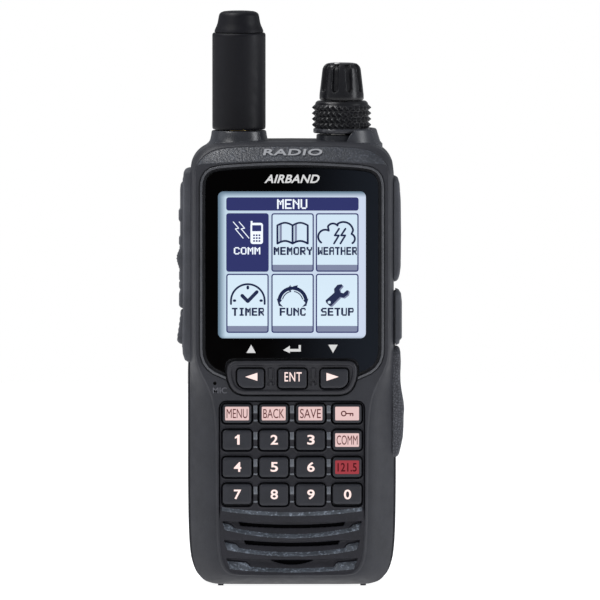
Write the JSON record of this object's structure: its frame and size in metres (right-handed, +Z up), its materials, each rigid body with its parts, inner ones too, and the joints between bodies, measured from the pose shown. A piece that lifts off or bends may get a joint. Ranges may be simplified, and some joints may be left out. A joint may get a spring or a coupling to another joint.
{
  "type": "handheld aviation radio",
  "caption": "Handheld airband transceiver with a large display, navigation keys, a backlit keypad, a speaker grille, stacked top knobs, a stub antenna and a removable rear battery.",
  "frame": {"origin": "centre of the bounding box's underside, on the plane of the four foot nubs", "axes": "+Z up towards the antenna, the display and keypad face -Y, the battery faces +Y"},
  "size_m": [0.0678, 0.0385, 0.1707],
  "materials": {
    "case_plastic": "fine moulded grain, charcoal",
    "chassis_metal": "matte charcoal paint",
    "rubber": "dark grey moulded rubber",
    "antenna_rubber": "smooth black rubber",
    "key_rubber": "satin dark grey",
    "lit_key": "translucent pink label",
    "red_key": "red label",
    "window": "polished black",
    "display": "lit pale blue",
    "knob_plastic": "satin black",
    "socket_plastic": "black",
    "seal_rubber": "black",
    "plated_metal": "nickel plated",
    "brass": "turned",
    "circuit_board": "solder mask",
    "cell_sleeve": "sleeved cell"
  },
  "bodies": {
    "radio_body": {"front_case": "case_plastic", "ptt_frame": "rubber", "rear_chassis": "chassis_metal", "display_window": "window", "nav_key_bezel": "case_plastic", "side_grip_pad": "rubber", "lcd_module": "display", "main_board": "circuit_board", "key_mat": "seal_rubber", "speaker": "plated_metal", "speaker_mesh": "seal_rubber", "microphone": "plated_metal", "side_switch_board": "circuit_board", "jack_block": "socket_plastic", "dc_jack": "socket_plastic", "control_body": "plated_metal", "control_nut": "plated_metal", "antenna_jack": "brass", "battery_contacts": "socket_plastic", "case_seal": "seal_rubber", "case_screw_1": "plated_metal", "case_screw_2": "plated_metal", "case_screw_3": "plated_metal", "case_screw_4": "plated_metal"},
    "key_menu_press": {"key_menu": "lit_key"},
    "key_back_press": {"key_back": "lit_key"},
    "key_save_press": {"key_save": "lit_key"},
    "key_lock_press": {"key_lock": "lit_key"},
    "key_1_press": {"key_1": "key_rubber"},
    "key_2_press": {"key_2": "key_rubber"},
    "key_3_press": {"key_3": "key_rubber"},
    "key_comm_press": {"key_comm": "lit_key"},
    "key_4_press": {"key_4": "key_rubber"},
    "key_5_press": {"key_5": "key_rubber"},
    "key_6_press": {"key_6": "key_rubber"},
    "key_emergency_press": {"key_emergency": "red_key"},
    "key_7_press": {"key_7": "key_rubber"},
    "key_8_press": {"key_8": "key_rubber"},
    "key_9_press": {"key_9": "key_rubber"},
    "key_0_press": {"key_0": "key_rubber"},
    "key_left_press": {"key_left": "key_rubber"},
    "key_enter_press": {"key_enter": "key_rubber"},
    "key_right_press": {"key_right": "key_rubber"},
    "ptt_button_press": {"ptt_button": "rubber"},
    "monitor_button_press": {"monitor_button": "rubber"},
    "volume_control": {"volume_knob": "knob_plastic", "volume_shaft": "plated_metal"},
    "squelch_control": {"squelch_ring": "knob_plastic", "squelch_shaft": "plated_metal"},
    "antenna": {"antenna_sleeve": "antenna_rubber", "antenna_cap": "antenna_rubber", "antenna_coupling": "brass", "antenna_coil": "brass"},
    "battery_pack": {"battery_case": "case_plastic", "battery_lid": "case_plastic", "battery_cell_lower": "cell_sleeve", "battery_cell_upper": "cell_sleeve"},
    "latch": {"battery_latch": "knob_plastic"},
    "mic_jack_cover_flap": {"mic_jack_cover": "rubber"},
    "dc_jack_cover_flap": {"dc_jack_cover": "rubber"}
  },
  "joints": [
    {"name": "key_menu_travel", "type": "slide", "parent": "radio_body", "child": "key_menu_press", "axis": [0, 1, 0], "range_m": [0, 0.0007], "stiffness_N_per_m": 1500},
    {"name": "key_back_travel", "type": "slide", "parent": "radio_body", "child": "key_back_press", "axis": [0, 1, 0], "range_m": [0, 0.0007], "stiffness_N_per_m": 1500},
    {"name": "key_save_travel", "type": "slide", "parent": "radio_body", "child": "key_save_press", "axis": [0, 1, 0], "range_m": [0, 0.0007], "stiffness_N_per_m": 1500},
    {"name": "key_lock_travel", "type": "slide", "parent": "radio_body", "child": "key_lock_press", "axis": [0, 1, 0], "range_m": [0, 0.0007], "stiffness_N_per_m": 1500},
    {"name": "key_1_travel", "type": "slide", "parent": "radio_body", "child": "key_1_press", "axis": [0, 1, 0], "range_m": [0, 0.0007], "stiffness_N_per_m": 1500},
    {"name": "key_2_travel", "type": "slide", "parent": "radio_body", "child": "key_2_press", "axis": [0, 1, 0], "range_m": [0, 0.0007], "stiffness_N_per_m": 1500},
    {"name": "key_3_travel", "type": "slide", "parent": "radio_body", "child": "key_3_press", "axis": [0, 1, 0], "range_m": [0, 0.0007], "stiffness_N_per_m": 1500},
    {"name": "key_comm_travel", "type": "slide", "parent": "radio_body", "child": "key_comm_press", "axis": [0, 1, 0], "range_m": [0, 0.0007], "stiffness_N_per_m": 1500},
    {"name": "key_4_travel", "type": "slide", "parent": "radio_body", "child": "key_4_press", "axis": [0, 1, 0], "range_m": [0, 0.0007], "stiffness_N_per_m": 1500},
    {"name": "key_5_travel", "type": "slide", "parent": "radio_body", "child": "key_5_press", "axis": [0, 1, 0], "range_m": [0, 0.0007], "stiffness_N_per_m": 1500},
    {"name": "key_6_travel", "type": "slide", "parent": "radio_body", "child": "key_6_press", "axis": [0, 1, 0], "range_m": [0, 0.0007], "stiffness_N_per_m": 1500},
    {"name": "key_emergency_travel", "type": "slide", "parent": "radio_body", "child": "key_emergency_press", "axis": [0, 1, 0], "range_m": [0, 0.0007], "stiffness_N_per_m": 1500},
    {"name": "key_7_travel", "type": "slide", "parent": "radio_body", "child": "key_7_press", "axis": [0, 1, 0], "range_m": [0, 0.0007], "stiffness_N_per_m": 1500},
    {"name": "key_8_travel", "type": "slide", "parent": "radio_body", "child": "key_8_press", "axis": [0, 1, 0], "range_m": [0, 0.0007], "stiffness_N_per_m": 1500},
    {"name": "key_9_travel", "type": "slide", "parent": "radio_body", "child": "key_9_press", "axis": [0, 1, 0], "range_m": [0, 0.0007], "stiffness_N_per_m": 1500},
    {"name": "key_0_travel", "type": "slide", "parent": "radio_body", "child": "key_0_press", "axis": [0, 1, 0], "range_m": [0, 0.0007], "stiffness_N_per_m": 1500},
    {"name": "key_left_travel", "type": "slide", "parent": "radio_body", "child": "key_left_press", "axis": [0, 1, 0], "range_m": [0, 0.0007], "stiffness_N_per_m": 1500},
    {"name": "key_enter_travel", "type": "slide", "parent": "radio_body", "child": "key_enter_press", "axis": [0, 1, 0], "range_m": [0, 0.0007], "stiffness_N_per_m": 1500},
    {"name": "key_right_travel", "type": "slide", "parent": "radio_body", "child": "key_right_press", "axis": [0, 1, 0], "range_m": [0, 0.0007], "stiffness_N_per_m": 1500},
    {"name": "ptt_button_travel", "type": "slide", "parent": "radio_body", "child": "ptt_button_press", "axis": [1, 0, 0], "range_m": [0, 0.0008], "stiffness_N_per_m": 3000},
    {"name": "monitor_button_travel", "type": "slide", "parent": "radio_body", "child": "monitor_button_press", "axis": [1, 0, 0], "range_m": [0, 0.0008], "stiffness_N_per_m": 3000},
    {"name": "volume_turn", "type": "hinge", "parent": "radio_body", "child": "volume_control", "pos_m": [0.0148, 0.0045, 0.15], "axis": [0, 0, 1], "range_deg": [-150, 150]},
    {"name": "squelch_turn", "type": "hinge", "parent": "radio_body", "child": "squelch_control", "pos_m": [0.0148, 0.0045, 0.14], "axis": [0, 0, 1], "range_deg": [-150, 150]},
    {"name": "antenna_unscrew", "type": "hinge", "parent": "radio_body", "child": "antenna", "pos_m": [-0.0158, 0.0045, 0.14], "axis": [0, 0, 1], "range_deg": [0, 720]},
    {"name": "battery_removal", "type": "slide", "parent": "radio_body", "child": "battery_pack", "axis": [0, 1, 0], "range_m": [0, 0.025]},
    {"name": "latch_travel", "type": "slide", "parent": "battery_pack", "child": "latch", "axis": [0, 0, -1], "range_m": [0, 0.003], "stiffness_N_per_m": 400},
    {"name": "mic_jack_cover_swing", "type": "hinge", "parent": "radio_body", "child": "mic_jack_cover_flap", "pos_m": [0.0316, 0.0026, 0.1063], "axis": [0, 0, 1], "range_deg": [0, 100]},
    {"name": "dc_jack_cover_swing", "type": "hinge", "parent": "radio_body", "child": "dc_jack_cover_flap", "pos_m": [0.0316, 0.0026, 0.08], "axis": [0, 0, 1], "range_deg": [0, 100]}
  ]
}
